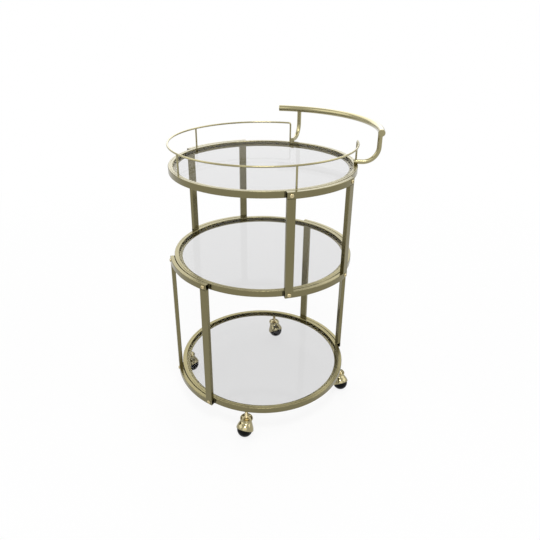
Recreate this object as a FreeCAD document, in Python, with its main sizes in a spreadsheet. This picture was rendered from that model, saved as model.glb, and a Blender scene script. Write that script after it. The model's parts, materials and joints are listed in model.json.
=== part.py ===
import FreeCAD, Part

# Round three-tier dessert trolley: three ring-framed glass tiers, four curved frames that
# hold them apart, a wire gallery and a push handle on the top tier, four hooded ball casters.
# Millimetres, +Z up, floor at z = 0, handle towards +X. The origin is the middle of the
# footprint's box, so the tiers share an axis that lies a little towards -X.

import math
import os

import Sketcher
from FreeCAD import Placement, Rotation, Vector

document = FreeCAD.newDocument("dessert_trolley")
sheet = document.addObject("Spreadsheet::Sheet", "dims")

SIZES = [
    # tiers
    ("tier_radius", 224.2, "outer radius of the three tier rings"),
    ("band_width", 11, "radial width of a ring's tube"),
    ("band_height", 15, "height of a ring's tube"),
    ("tube_wall", 1.2, "wall of the steel tubes"),
    ("corner_round", 1.2, "outer corner radius of the rectangular tubes"),
    ("seam_inset", 5, "ring's outer face to the middle of the fine groove in its top"),
    ("seam_width", 0.8, "width of that groove"),
    ("seam_depth", 0.5, "depth of that groove"),
    ("ledge_width", 8.5, "radial width of the ledge that carries the glass"),
    ("ledge_thick", 2.5, "thickness of that ledge"),
    ("ledge_drop", 7, "ring top down to the ledge top"),
    ("lower_spacing", 330.5, "bottom ring top to middle ring top"),
    ("upper_spacing", 228, "middle ring top to top ring top"),
    ("glass_thick", 5, "thickness of the glass panes"),
    ("glass_play", 1, "radial play of a pane in its ring"),
    ("glass_bevel", 0.6, "ground edge of the panes"),
    ("pad_radius", 3.5, "clear pads under the panes"),
    ("pad_thick", 0.8, "thickness of those pads"),
    ("pad_count", 8, "pads to a pane"),
    # curved frames
    ("frame_gap", 1.2, "gap between a ring and the frames outside it"),
    ("frame_depth", 10, "radial depth of the frame tube"),
    ("frame_width", 18.7, "width of the frame uprights"),
    ("frame_half_angle", 20.5, "frame centre to upright centre, degrees about the axis"),
    ("spacer_width", 24, "width of the spacers between ring and frame"),
    ("spacer_height", 12, "height of those spacers"),
    # fasteners
    ("screw_radius", 2.5, "M5 screws"),
    ("screw_play", 0.3, "radial clearance of a screw hole"),
    ("screw_head_radius", 4.6, "button heads"),
    ("screw_head_height", 2.7, "height of a button head"),
    ("screw_head_edge", 0.5, "straight edge of a button head"),
    ("socket_radius", 1.6, "recess in a button head"),
    ("socket_depth", 1.4, "depth of that recess"),
    ("insert_radius", 3.5, "threaded inserts in the rings"),
    ("insert_length", 8, "ring face to the inner end of an insert"),
    ("insert_recess", 0.2, "ring face to the outer end of an insert"),
    ("cut_past", 1, "how far a cut runs past the face it opens"),
    # gallery
    ("rail_rise", 50, "ring top to the gallery wire's centre"),
    ("wire_radius", 2.2, "half the thickness of the gallery wire"),
    ("rail_bend", 5, "bend radius at the gallery's two ends"),
    ("rail_end_right", 35.3, "degrees from the handle axis to the gallery's right end"),
    ("rail_end_left", 34.9, "degrees from the handle axis to the gallery's left end"),
    ("post_angle", 107, "degrees from the handle axis to a side post"),
    # handle
    ("handle_reach", 45.8, "ring's outer face out to the centre of the handle bar"),
    ("handle_rise", 80.4, "ring top to the centre of the handle bar"),
    ("bar_radius", 8, "half the thickness of the handle bar"),
    ("bar_half_angle", 46.1, "half the arc of the handle bar, degrees"),
    ("bar_turn", 1.1, "degrees from the handle axis to the middle of the bar, to the left"),
    ("cap_thick", 1.6, "thickness of the bar's end caps"),
    ("cap_plug", 9, "length of a cap inside the bar"),
    ("cap_play", 0.1, "radial clearance of a cap's plug"),
    ("arm_radius", 5.5, "half the thickness of the handle arms"),
    ("arm_bend", 36, "bend radius of the handle arms"),
    ("arm_angle_right", 33.1, "degrees from the handle axis to the right arm"),
    ("arm_angle_left", 40.2, "degrees from the handle axis to the left arm"),
    ("arm_screw_bite", 7, "length of the handle screws inside an arm"),
    # casters
    ("caster_height", 70, "floor to the underside of the bottom ring"),
    ("caster_trail", 10, "swivel axis to wheel centre"),
    ("wheel_radius", 19.5, "radius of the ball wheels"),
    ("wheel_half_width", 17.5, "wheel centre to a wheel's flat side"),
    ("wheel_play", 0.9, "gap between a wheel and its hood"),
    ("hood_wall", 1.5, "wall of the hood around the wheel"),
    ("mouth_drop", 3.4, "wheel centre down to the middle of the hood's mouth"),
    ("mouth_tilt", 23, "tilt of the hood's mouth, degrees"),
    ("shoulder_rise", 8, "wheel centre up to the foot of the hood's neck"),
    ("neck_radius", 12.8, "radius of the hood's neck"),
    ("collar_radius", 16.2, "outer radius of the hood's collar"),
    ("collar_height", 5.3, "height of the flared collar"),
    ("collar_bead", 1.77, "height of the bevel at each rim of the collar"),
    ("collar_wall", 2.4, "wall of the collar at its rim"),
    ("cup_depth", 4.5, "depth of the cup inside the collar"),
    ("cup_radius", 10.6, "radius of the cup's floor"),
    ("cup_floor", 2.5, "thickness of the cup's floor"),
    ("axle_radius", 2, "radius of the wheel axles"),
    ("stem_radius", 4, "radius of the caster stems"),
    ("stem_thread", 3, "radius of the threaded stem ends"),
    ("stem_engage", 9, "length of the threaded stem ends"),
    ("foot_play", 0.4, "top of a wheel up to the foot of its stem"),
    ("rivet_radius", 5.5, "radius of the stem's foot under the cup"),
    ("rivet_thick", 1.8, "thickness of the stem's foot"),
    ("swivel_play", 0.3, "end play of a hood on its stem"),
    ("running_play", 0.07, "radial clearance of the swivel and axle bores"),
    ("stem_insert_wall", 1.2, "wall of the inserts for the stems"),
    ("washer_radius", 7.8, "radius of the washers in the cups"),
    ("washer_thick", 1, "thickness of those washers"),
    ("nut_corner", 6.9, "axis to a corner of the stem nuts"),
    ("nut_thick", 4.5, "thickness of the stem nuts"),
]

for row, (name, number, note) in enumerate(SIZES, start=1):
    sheet.set("A%d" % row, name)
    sheet.set("B%d" % row, str(number))
    sheet.set("C%d" % row, note)
    sheet.setAlias("B%d" % row, name)
document.recompute()

# Sizes that follow from the ones above, as expressions of the sheet.
RING_INNER = "(dims.tier_radius - dims.band_width)"
FRAME_INNER = "(dims.tier_radius + dims.frame_gap)"
FRAME_OUTER = "(%s + dims.frame_depth)" % FRAME_INNER
RAIL_RADIUS = "(dims.tier_radius - dims.wire_radius)"
HANDLE_RADIUS = "(dims.tier_radius + dims.handle_reach)"
HANDLE_END = "(%s + dims.bar_radius)" % HANDLE_RADIUS
TIER_AXIS = "(%s - %s) / 2" % (FRAME_OUTER, HANDLE_END)
BAND_CENTRE = "(dims.tier_radius - dims.band_width / 2)"
BOTTOM_LEVEL = "(dims.caster_height + dims.band_height)"
MIDDLE_LEVEL = "(%s + dims.lower_spacing)" % BOTTOM_LEVEL
TOP_LEVEL = "(%s + dims.upper_spacing)" % MIDDLE_LEVEL
CAVITY_RADIUS = "(dims.wheel_radius + dims.wheel_play)"
HOOD_RADIUS = "(%s + dims.hood_wall)" % CAVITY_RADIUS
STEM_FOOT = "(2 * dims.wheel_radius + dims.foot_play)"
CUP_UNDER = "(%s + dims.rivet_thick + dims.swivel_play)" % STEM_FOOT
CUP_TOP = "(%s + dims.cup_floor)" % CUP_UNDER
COLLAR_TOP = "(%s + dims.cup_depth)" % CUP_TOP

nodes = []


def value(expression):
    """The number that an expression of the sheet gives now."""
    return float(sheet.evalExpression(expression))


# ---------------------------------------------------------------- bodies and sketches

def new_body(label, turn="0", x="0", y="0", z="0", is_node=True):
    """An empty body, turned about Z by an angle and then put at a place."""
    body = document.addObject("PartDesign::Body", label)
    body.Label = label
    body.Placement = Placement(Vector(0, 0, 0), Rotation(Vector(0, 0, 1), value(turn)))
    for coordinate, expression in (("x", x), ("y", y), ("z", z)):
        body.setExpression(".Placement.Base." + coordinate, expression)
    if is_node:
        nodes.append(body)
    return body


def new_sketch(body, role, turn="0", lift="0", along="0"):
    """A sketch on one of the body's own planes.

    On XY_Plane the sketch is lifted along Z and turned about Z; on XZ_Plane it is turned
    about Z, or moved along X.
    """
    sketch = body.newObject("Sketcher::SketchObject", body.Name + "_sketch")
    plane = [feature for feature in body.Origin.OriginFeatures if feature.Role == role][0]
    sketch.AttachmentSupport = [(plane, "")]
    sketch.MapMode = "FlatFace"
    spin_axis = Vector(0, 0, 1) if role == "XY_Plane" else Vector(0, 1, 0)
    sketch.AttachmentOffset = Placement(Vector(0, 0, 0), Rotation(spin_axis, value(turn)))
    sketch.setExpression(".AttachmentOffset.Base.x", along)
    if role == "XY_Plane":
        sketch.setExpression(".AttachmentOffset.Base.z", lift)
    return sketch


def hold(sketch, kind, geometry, point, expression):
    """Tie one coordinate of a sketch point to an expression, measured from the origin."""
    if expression == "0":
        axis = -2 if kind == "DistanceX" else -1
        sketch.addConstraint(Sketcher.Constraint("PointOnObject", geometry, point, axis))
        return
    constraint = Sketcher.Constraint(kind, -1, 1, geometry, point, value(expression))
    index = sketch.addConstraint(constraint)
    sketch.setExpression("Constraints[%d]" % index, expression)


def draw_outline(sketch, corners, arcs=None):
    """A closed outline through corners given as pairs of expressions.

    arcs maps a corner's number to the centre of the arc that runs clockwise from it to the
    next corner, given as "DistanceX" or "DistanceY" and where it lies that way; every other
    stretch is straight.
    """
    arcs = arcs or {}
    points = [Vector(value(x), value(y), 0) for x, y in corners]
    first = sketch.GeometryCount
    count = len(points)
    ends = {}
    for number, start in enumerate(points):
        end = points[(number + 1) % count]
        if number in arcs:
            centre = arc_centre(start, end, arcs[number][0], value(arcs[number][1]))
            sketch.addGeometry(clockwise_arc(centre, start, end), False)
            ends[number] = (2, 1)
        else:
            sketch.addGeometry(Part.LineSegment(start, end), False)
            ends[number] = (1, 2)
    for number, (x, y) in enumerate(corners):
        following = (number + 1) % count
        joint = (first + number, ends[number][1], first + following, ends[following][0])
        sketch.addConstraint(Sketcher.Constraint("Coincident", *joint))
        hold(sketch, "DistanceX", first + number, ends[number][0], x)
        hold(sketch, "DistanceY", first + number, ends[number][0], y)
    for number, (kind, position) in arcs.items():
        hold(sketch, kind, first + number, 3, position)


def arc_centre(start, end, kind, position):
    """The point as far from both ends of an arc, when one of its coordinates is known."""
    if kind == "DistanceX":
        squares = (end.y ** 2 + (end.x - position) ** 2
                   - start.y ** 2 - (start.x - position) ** 2)
        return Vector(position, squares / (2 * (end.y - start.y)), 0)
    squares = (end.x ** 2 + (end.y - position) ** 2
               - start.x ** 2 - (start.y - position) ** 2)
    return Vector(squares / (2 * (end.x - start.x)), position, 0)


def clockwise_arc(centre, start, end):
    """An arc from start to end, stored counter-clockwise as a sketch keeps it."""
    circle = Part.Circle(centre, Vector(0, 0, 1), start.distanceToPoint(centre))
    return Part.ArcOfCircle(circle, circle.parameter(end), circle.parameter(start))


def draw_circle(sketch, x, y, radius):
    """A circle with its centre and radius tied to expressions."""
    circle = Part.Circle(Vector(value(x), value(y), 0), Vector(0, 0, 1), value(radius))
    index = sketch.addGeometry(circle, False)
    hold(sketch, "DistanceX", index, 3, x)
    hold(sketch, "DistanceY", index, 3, y)
    constraint = sketch.addConstraint(Sketcher.Constraint("Radius", index, value(radius)))
    sketch.setExpression("Constraints[%d]" % constraint, radius)


def draw_upright_axis(sketch, x):
    """A construction line that a feature can turn about."""
    place = value(x)
    line = Part.LineSegment(Vector(place, 0, 0), Vector(place, 1, 0))
    index = sketch.addGeometry(line, True)
    hold(sketch, "DistanceX", index, 1, x)
    sketch.addConstraint(Sketcher.Constraint("Vertical", index))


def draw_tube_section(sketch, left, right, low, high):
    """The section of a rectangular tube: rounded corners outside, square ones inside."""
    x0, x1, y0, y1 = value(left), value(right), value(low), value(high)
    r = value("dims.corner_round")
    first = sketch.GeometryCount
    sides = [
        (Vector(x0 + r, y0, 0), Vector(x1 - r, y0, 0)),
        (Vector(x1, y0 + r, 0), Vector(x1, y1 - r, 0)),
        (Vector(x1 - r, y1, 0), Vector(x0 + r, y1, 0)),
        (Vector(x0, y1 - r, 0), Vector(x0, y0 + r, 0)),
    ]
    for start, end in sides:
        sketch.addGeometry(Part.LineSegment(start, end), False)
    centres = [(x1 - r, y0 + r), (x1 - r, y1 - r), (x0 + r, y1 - r), (x0 + r, y0 + r)]
    for number, (x, y) in enumerate(centres):
        circle = Part.Circle(Vector(x, y, 0), Vector(0, 0, 1), r)
        start = circle.parameter(sides[number][1])
        end = circle.parameter(sides[(number + 1) % 4][0])
        sketch.addGeometry(Part.ArcOfCircle(circle, start, end), False)
    for number in range(4):
        side = first + number
        corner = first + 4 + number
        following = first + (number + 1) % 4
        kind = "Vertical" if number % 2 else "Horizontal"
        sketch.addConstraint(Sketcher.Constraint(kind, side))
        sketch.addConstraint(Sketcher.Constraint("Tangent", side, 2, corner, 1))
        sketch.addConstraint(Sketcher.Constraint("Tangent", corner, 2, following, 1))
        if number:
            sketch.addConstraint(Sketcher.Constraint("Equal", first + 4, corner))
    rounding = sketch.addConstraint(Sketcher.Constraint("Radius", first + 4, r))
    sketch.setExpression("Constraints[%d]" % rounding, "dims.corner_round")
    hold(sketch, "DistanceY", first, 1, low)
    hold(sketch, "DistanceX", first + 1, 1, right)
    hold(sketch, "DistanceY", first + 2, 1, high)
    hold(sketch, "DistanceX", first + 3, 1, left)
    wall = " dims.tube_wall"
    draw_outline(sketch, [
        (left + " +" + wall, low + " +" + wall),
        (left + " +" + wall, high + " -" + wall),
        (right + " -" + wall, high + " -" + wall),
        (right + " -" + wall, low + " +" + wall),
    ])


# ---------------------------------------------------------------- features

def turn_section(body, sketch, axis="V_Axis", angle="360", centred=False, backwards=False):
    """Revolve a sketch about one of its own axes."""
    return turned(body, sketch, "PartDesign::Revolution", axis, angle, centred, backwards)


def turn_cut(body, sketch, axis="V_Axis"):
    """Cut away a full turn of a sketch."""
    return turned(body, sketch, "PartDesign::Groove", axis, "360", False, False)


def turned(body, sketch, kind, axis, angle, centred, backwards):
    feature = body.newObject(kind, body.Name + "_turned")
    feature.Profile = sketch
    feature.ReferenceAxis = (sketch, [axis])
    feature.setExpression("Angle", angle)
    feature.Midplane = centred
    feature.Reversed = backwards
    body.Tip = feature
    return feature


def raise_section(body, sketch, length, centred=False):
    """Pad a sketch along its normal."""
    feature = body.newObject("PartDesign::Pad", body.Name + "_pad")
    feature.Profile = sketch
    feature.setExpression("Length", length)
    feature.Midplane = centred
    body.Tip = feature
    return feature


def sink_section(body, sketch, length=None, centred=False):
    """Pocket a sketch against its normal, to a depth or all the way."""
    feature = body.newObject("PartDesign::Pocket", body.Name + "_pocket")
    feature.Profile = sketch
    if length is None:
        feature.Type = "ThroughAll"
    else:
        feature.setExpression("Length", length)
    feature.Midplane = centred
    body.Tip = feature
    return feature


def repeat_round(body, originals, count):
    """Repeat features evenly about the body's Z axis."""
    feature = body.newObject("PartDesign::PolarPattern", body.Name + "_round")
    axis = [item for item in body.Origin.OriginFeatures if item.Role == "Z_Axis"][0]
    feature.Originals = originals
    feature.Axis = (axis, [""])
    feature.Angle = 360
    feature.setExpression("Occurrences", str(count))
    body.Tip = feature
    return feature


def mirror_across(body, originals):
    """Mirror features across the body's XZ plane."""
    feature = body.newObject("PartDesign::Mirrored", body.Name + "_mirrored")
    plane = [item for item in body.Origin.OriginFeatures if item.Role == "XZ_Plane"][0]
    feature.Originals = originals
    feature.MirrorPlane = (plane, [""])
    body.Tip = feature
    return feature


def bore_radially(body, turn, height, start, end, radius):
    """Cut a round hole along a radius of the trolley."""
    sketch = new_sketch(body, "XY_Plane", turn=turn, lift=height)
    draw_outline(sketch, [(start, "0"), (start, radius), (end, radius), (end, "0")])
    return turn_cut(body, sketch, axis="H_Axis")


# ---------------------------------------------------------------- tiers

TIERS = {
    # name: level of the ring's top, angle to its first frame, how many frames meet it
    "top": (TOP_LEVEL, "90", 2),
    "middle": (MIDDLE_LEVEL, "0", 4),
    "bottom": (BOTTOM_LEVEL, "0", 2),
}
BAND_MIDDLE = "-dims.band_height / 2"


def build_ring(name):
    """A tube ring: a ledge inside it, a fine groove in its top and holes for its inserts."""
    level, first_frame, frames = TIERS[name]
    body = new_body(name + "_ring", turn=first_frame, x=TIER_AXIS, z=level)
    band = new_sketch(body, "XZ_Plane")
    draw_tube_section(band, RING_INNER, "dims.tier_radius", "-dims.band_height", "0")
    turn_section(body, band)
    ledge = new_sketch(body, "XZ_Plane")
    ledge_inner = RING_INNER + " - dims.ledge_width"
    ledge_under = "-dims.ledge_drop - dims.ledge_thick"
    draw_outline(ledge, [
        (ledge_inner, ledge_under),
        (ledge_inner, "-dims.ledge_drop"),
        (RING_INNER, "-dims.ledge_drop"),
        (RING_INNER, ledge_under),
    ])
    turn_section(body, ledge)
    seam = new_sketch(body, "XZ_Plane")
    seam_outer = "dims.tier_radius - dims.seam_inset + dims.seam_width / 2"
    seam_inner = seam_outer + " - dims.seam_width"
    draw_outline(seam, [
        (seam_inner, "-dims.seam_depth"),
        (seam_inner, "dims.cut_past"),
        (seam_outer, "dims.cut_past"),
        (seam_outer, "-dims.seam_depth"),
    ])
    turn_cut(body, seam)
    wall_inside = "dims.tier_radius - dims.tube_wall - dims.corner_round"
    wall_outside = "dims.tier_radius + dims.corner_round"
    for side in ("", "-"):
        hole = bore_radially(body, side + "dims.frame_half_angle", BAND_MIDDLE,
                             wall_inside, wall_outside, "dims.insert_radius")
        repeat_round(body, [hole], frames)
    return body


def build_glass(name):
    """A round clear pane that drops into the ring and rests on pads."""
    level = TIERS[name][0]
    seat = level + " - dims.ledge_drop + dims.pad_thick"
    body = new_body(name + "_glass", x=TIER_AXIS, z=seat)
    sketch = new_sketch(body, "XY_Plane")
    draw_circle(sketch, "0", "0", RING_INNER + " - dims.glass_play")
    pane = raise_section(body, sketch, "dims.glass_thick")
    document.recompute()
    rims = []
    for number, edge in enumerate(pane.Shape.Edges, start=1):
        if isinstance(edge.Curve, Part.Circle):
            rims.append("Edge%d" % number)
    bevel = body.newObject("PartDesign::Chamfer", body.Name + "_bevel")
    bevel.Base = (pane, rims)
    bevel.setExpression("Size", "dims.glass_bevel")
    body.Tip = bevel


def build_pads(name):
    """Clear pads between a ring's ledge and its pane."""
    level = TIERS[name][0]
    body = new_body(name + "_glass_pads", x=TIER_AXIS, z=level + " - dims.ledge_drop")
    sketch = new_sketch(body, "XY_Plane")
    draw_circle(sketch, RING_INNER + " - dims.ledge_width / 2", "0", "dims.pad_radius")
    pad = raise_section(body, sketch, "dims.pad_thick")
    repeat_round(body, [pad], "dims.pad_count")


def build_frame_screws(name):
    """Button-head screws that run from outside a frame into the ring's inserts."""
    level, first_frame, frames = TIERS[name]
    body = new_body(name + "_frame_screws", turn=first_frame, x=TIER_AXIS, z=level)
    tip = "dims.tier_radius - dims.insert_length"
    edge = FRAME_OUTER + " + dims.screw_head_edge"
    crown = FRAME_OUTER + " + dims.screw_head_height"
    socket = crown + " - dims.socket_depth"
    for side in ("", "-"):
        sketch = new_sketch(body, "XY_Plane", turn=side + "dims.frame_half_angle",
                            lift=BAND_MIDDLE)
        draw_outline(sketch, [
            (tip, "0"),
            (tip, "dims.screw_radius"),
            (FRAME_OUTER, "dims.screw_radius"),
            (FRAME_OUTER, "dims.screw_head_radius"),
            (edge, "dims.screw_head_radius"),
            (crown, "dims.socket_radius"),
            (socket, "dims.socket_radius"),
            (socket, "0"),
        ], arcs={4: ("DistanceY", "-dims.screw_head_radius / 2")})
        screw = turn_section(body, sketch, axis="H_Axis")
        repeat_round(body, [screw], frames)


def build_frame_inserts(name):
    """Threaded inserts in a ring's outer wall."""
    level, first_frame, frames = TIERS[name]
    body = new_body(name + "_frame_inserts", turn=first_frame, x=TIER_AXIS, z=level)
    start = "dims.tier_radius - dims.insert_length"
    end = "dims.tier_radius - dims.insert_recess"
    for side in ("", "-"):
        sketch = new_sketch(body, "XY_Plane", turn=side + "dims.frame_half_angle",
                            lift=BAND_MIDDLE)
        draw_outline(sketch, [
            (start, "dims.screw_radius"),
            (start, "dims.insert_radius"),
            (end, "dims.insert_radius"),
            (end, "dims.screw_radius"),
        ])
        insert = turn_section(body, sketch, axis="H_Axis")
        repeat_round(body, [insert], frames)


def build_frame_spacers(name):
    """Dark spacers that keep the frames off a ring, curved like the ring."""
    level, first_frame, frames = TIERS[name]
    body = new_body(name + "_frame_spacers", turn=first_frame, x=TIER_AXIS, z=level)
    low = "-(dims.band_height + dims.spacer_height) / 2"
    high = "-(dims.band_height - dims.spacer_height) / 2"
    arc = "dims.spacer_width / dims.tier_radius * 180 / pi"
    for side in ("", "-"):
        turn = side + "dims.frame_half_angle"
        sketch = new_sketch(body, "XZ_Plane", turn=turn)
        draw_outline(sketch, [
            ("dims.tier_radius", low),
            ("dims.tier_radius", high),
            (FRAME_INNER, high),
            (FRAME_INNER, low),
        ])
        block = turn_section(body, sketch, angle=arc, centred=True)
        hole = bore_radially(body, turn, BAND_MIDDLE, "dims.tier_radius - dims.cut_past",
                             FRAME_INNER + " + dims.cut_past", "dims.screw_radius")
        repeat_round(body, [block, hole], frames)


def build_handle_holes(ring):
    """Upright screw holes through the top ring's tube, under the handle arms."""
    first_frame = TIERS["top"][1]
    for angle in ("dims.arm_angle_right", "-dims.arm_angle_left"):
        sketch = new_sketch(ring, "XY_Plane", turn=angle + " - " + first_frame)
        draw_circle(sketch, BAND_CENTRE, "0", "dims.screw_radius + dims.screw_play")
        sink_section(ring, sketch)


STEM_HOLE = "(dims.stem_thread + dims.stem_insert_wall)"
FIRST_STEM = "45"


def build_stem_holes(ring):
    """Holes in the underside of the bottom ring for the casters' inserts."""
    depth = "dims.tube_wall + dims.corner_round"
    sketch = new_sketch(ring, "XY_Plane", turn=FIRST_STEM, lift="-dims.band_height + " + depth)
    draw_circle(sketch, BAND_CENTRE, "0", STEM_HOLE)
    hole = sink_section(ring, sketch, "2 * (%s)" % depth)
    repeat_round(ring, [hole], 4)


# ---------------------------------------------------------------- curved frames

def build_frame(name, turn, low, high):
    """Two uprights between two curved cross tubes, in one welded frame."""
    body = new_body(name, turn=turn, x=TIER_AXIS)
    upright_half_arc = "asin(dims.frame_width / 2 / %s)" % FRAME_OUTER
    arc = "2 * (dims.frame_half_angle + %s / 1deg)" % upright_half_arc
    for under in (low, high + " - dims.band_height"):
        section = new_sketch(body, "XZ_Plane")
        draw_tube_section(section, FRAME_INNER, FRAME_OUTER, under,
                          under + " + dims.band_height")
        turn_section(body, section, angle=arc, centred=True)
    foot = low + " + dims.band_height"
    half_width = "dims.frame_width / 2"
    upright = new_sketch(body, "XY_Plane", turn="dims.frame_half_angle", lift=foot)
    draw_tube_section(upright, FRAME_INNER, FRAME_OUTER, "-" + half_width, half_width)
    length = "%s - dims.band_height - (%s)" % (high, foot)
    features = [raise_section(body, upright, length)]
    for height in (low + " + dims.band_height / 2", high + " - dims.band_height / 2"):
        features.append(bore_radially(
            body, "dims.frame_half_angle", height, FRAME_INNER + " - dims.cut_past",
            FRAME_OUTER + " + dims.cut_past", "dims.screw_radius + dims.screw_play"))
    mirror_across(body, features)


# ---------------------------------------------------------------- gallery

def place_on_tier(radius, angle, height):
    """A point above the top ring, from its radius, its angle and its height."""
    turned_out = Rotation(Vector(0, 0, 1), angle).multVec(Vector(radius, 0, 0))
    return turned_out + Vector(value(TIER_AXIS), 0, value(TOP_LEVEL) + height)


def rail_end(angle, inward):
    """The bent end of the gallery wire: foot, foot of the bend, its middle and its top."""
    radius = value(RAIL_RADIUS)
    rise = value("dims.rail_rise")
    bend = value("dims.rail_bend")
    bend_arc = math.degrees(bend / radius)
    top = place_on_tier(radius, angle + inward * bend_arc, rise)
    along = Rotation(Vector(0, 0, 1), angle + inward * bend_arc + 90).multVec(Vector(1, 0, 0))
    foot = top - along * inward * bend - Vector(0, 0, rise)
    low = foot + Vector(0, 0, rise - bend)
    corner = low + along * inward * bend
    middle = corner + (Vector(0, 0, 1) - along * inward) * (bend / math.sqrt(2))
    return foot, low, middle, top


def build_rail():
    """The gallery wire: a long arc open at the handle, with both ends bent down."""
    right = rail_end(value("dims.rail_end_right"), 1)
    left = rail_end(-value("dims.rail_end_left"), -1)
    back = place_on_tier(value(RAIL_RADIUS), 180, value("dims.rail_rise"))
    path = document.addObject("Part::Feature", "gallery_path")
    path.Shape = Part.Wire([
        Part.LineSegment(right[0], right[1]).toShape(),
        Part.Arc(right[1], right[2], right[3]).toShape(),
        Part.Arc(right[3], back, left[3]).toShape(),
        Part.Arc(left[3], left[2], left[1]).toShape(),
        Part.LineSegment(left[1], left[0]).toShape(),
    ])
    profile = document.addObject("Part::Circle", "gallery_section")
    profile.setExpression("Radius", "dims.wire_radius")
    profile.Placement = Placement(right[0], Rotation())
    rail = document.addObject("Part::Sweep", "gallery_rail")
    rail.Label = "gallery_rail"
    rail.Sections = [profile]
    rail.Spine = (path, ["Edge%d" % number for number in range(1, 6)])
    rail.Solid = True
    rail.Frenet = False
    nodes.append(rail)


def build_posts():
    """Three posts that stand on the top ring and are coped to the wire."""
    body = new_body("gallery_posts", x=TIER_AXIS, z=TOP_LEVEL)
    for angle in ("dims.post_angle", "180", "-dims.post_angle"):
        sketch = new_sketch(body, "XY_Plane", turn=angle)
        draw_circle(sketch, RAIL_RADIUS, "0", "dims.wire_radius")
        raise_section(body, sketch, "dims.rail_rise")
    wire = new_sketch(body, "XZ_Plane")
    draw_circle(wire, RAIL_RADIUS, "dims.rail_rise", "dims.wire_radius")
    turn_cut(body, wire)


# ---------------------------------------------------------------- handle

BAR_HEIGHT = "dims.handle_rise"
ARM_START = "(%s + dims.corner_round)" % RING_INNER


def build_handle_bar():
    """The hand bar: a round tube bent to an arc about the tiers' axis."""
    body = new_body("handle_bar", turn="-dims.bar_turn", x=TIER_AXIS, z=TOP_LEVEL)
    sketch = new_sketch(body, "XZ_Plane")
    draw_circle(sketch, HANDLE_RADIUS, BAR_HEIGHT, "dims.bar_radius")
    draw_circle(sketch, HANDLE_RADIUS, BAR_HEIGHT, "dims.bar_radius - dims.tube_wall")
    turn_section(body, sketch, angle="2 * dims.bar_half_angle", centred=True)


def build_end_caps():
    """A flat cap with a plug in each end of the bar."""
    body = new_body("handle_end_caps", turn="-dims.bar_turn", x=TIER_AXIS, z=TOP_LEVEL)
    degrees = " / %s * 180 / pi" % HANDLE_RADIUS
    features = []
    plug_radius = "dims.bar_radius - dims.tube_wall - dims.cap_play"
    for radius, length, backwards in (("dims.bar_radius", "dims.cap_thick", False),
                                      (plug_radius, "dims.cap_plug", True)):
        sketch = new_sketch(body, "XZ_Plane", turn="dims.bar_half_angle")
        draw_circle(sketch, HANDLE_RADIUS, BAR_HEIGHT, radius)
        features.append(turn_section(body, sketch, angle=length + degrees,
                                     backwards=backwards))
    mirror_across(body, features)


def build_handle_arm(side, angle):
    """A bent rod that lies on the top ring, runs outwards and rises to the bar."""
    body = new_body("handle_arm_" + side, turn=angle, x=TIER_AXIS, z=TOP_LEVEL)
    path = new_sketch(body, "XZ_Plane")
    start = Vector(value(ARM_START), value("dims.arm_radius"), 0)
    bend = value("dims.arm_bend")
    reach = value(HANDLE_RADIUS)
    turn_in = Vector(reach - bend, start.y, 0)
    turn_out = Vector(reach, start.y + bend, 0)
    circle = Part.Circle(Vector(reach - bend, start.y + bend, 0), Vector(0, 0, 1), bend)
    top = Vector(reach, value(BAR_HEIGHT), 0)
    path.addGeometry(Part.LineSegment(start, turn_in), False)
    path.addGeometry(Part.ArcOfCircle(circle, circle.parameter(turn_in),
                                      circle.parameter(turn_out)), False)
    path.addGeometry(Part.LineSegment(turn_out, top), False)
    path.addConstraint(Sketcher.Constraint("Horizontal", 0))
    path.addConstraint(Sketcher.Constraint("Vertical", 2))
    path.addConstraint(Sketcher.Constraint("Tangent", 0, 2, 1, 1))
    path.addConstraint(Sketcher.Constraint("Tangent", 1, 2, 2, 1))
    radius = path.addConstraint(Sketcher.Constraint("Radius", 1, bend))
    path.setExpression("Constraints[%d]" % radius, "dims.arm_bend")
    hold(path, "DistanceX", 0, 1, ARM_START)
    hold(path, "DistanceY", 0, 1, "dims.arm_radius")
    hold(path, "DistanceX", 2, 2, HANDLE_RADIUS)
    hold(path, "DistanceY", 2, 2, BAR_HEIGHT)
    section = body.newObject("Sketcher::SketchObject", body.Name + "_section")
    plane = [item for item in body.Origin.OriginFeatures if item.Role == "YZ_Plane"][0]
    section.AttachmentSupport = [(plane, "")]
    section.MapMode = "FlatFace"
    section.setExpression(".AttachmentOffset.Base.z", ARM_START)
    draw_circle(section, "0", "dims.arm_radius", "dims.arm_radius")
    rod = body.newObject("PartDesign::AdditivePipe", body.Name + "_rod")
    rod.Profile = section
    rod.Spine = (path, ["Edge1", "Edge2", "Edge3"])
    body.Tip = rod
    bar = new_sketch(body, "XZ_Plane")
    draw_circle(bar, HANDLE_RADIUS, BAR_HEIGHT, "dims.bar_radius")
    turn_cut(body, bar)
    hole = new_sketch(body, "XY_Plane", lift="dims.arm_screw_bite")
    draw_circle(hole, BAND_CENTRE, "0", "dims.screw_radius")
    sink_section(body, hole, "2 * dims.arm_screw_bite")


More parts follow.
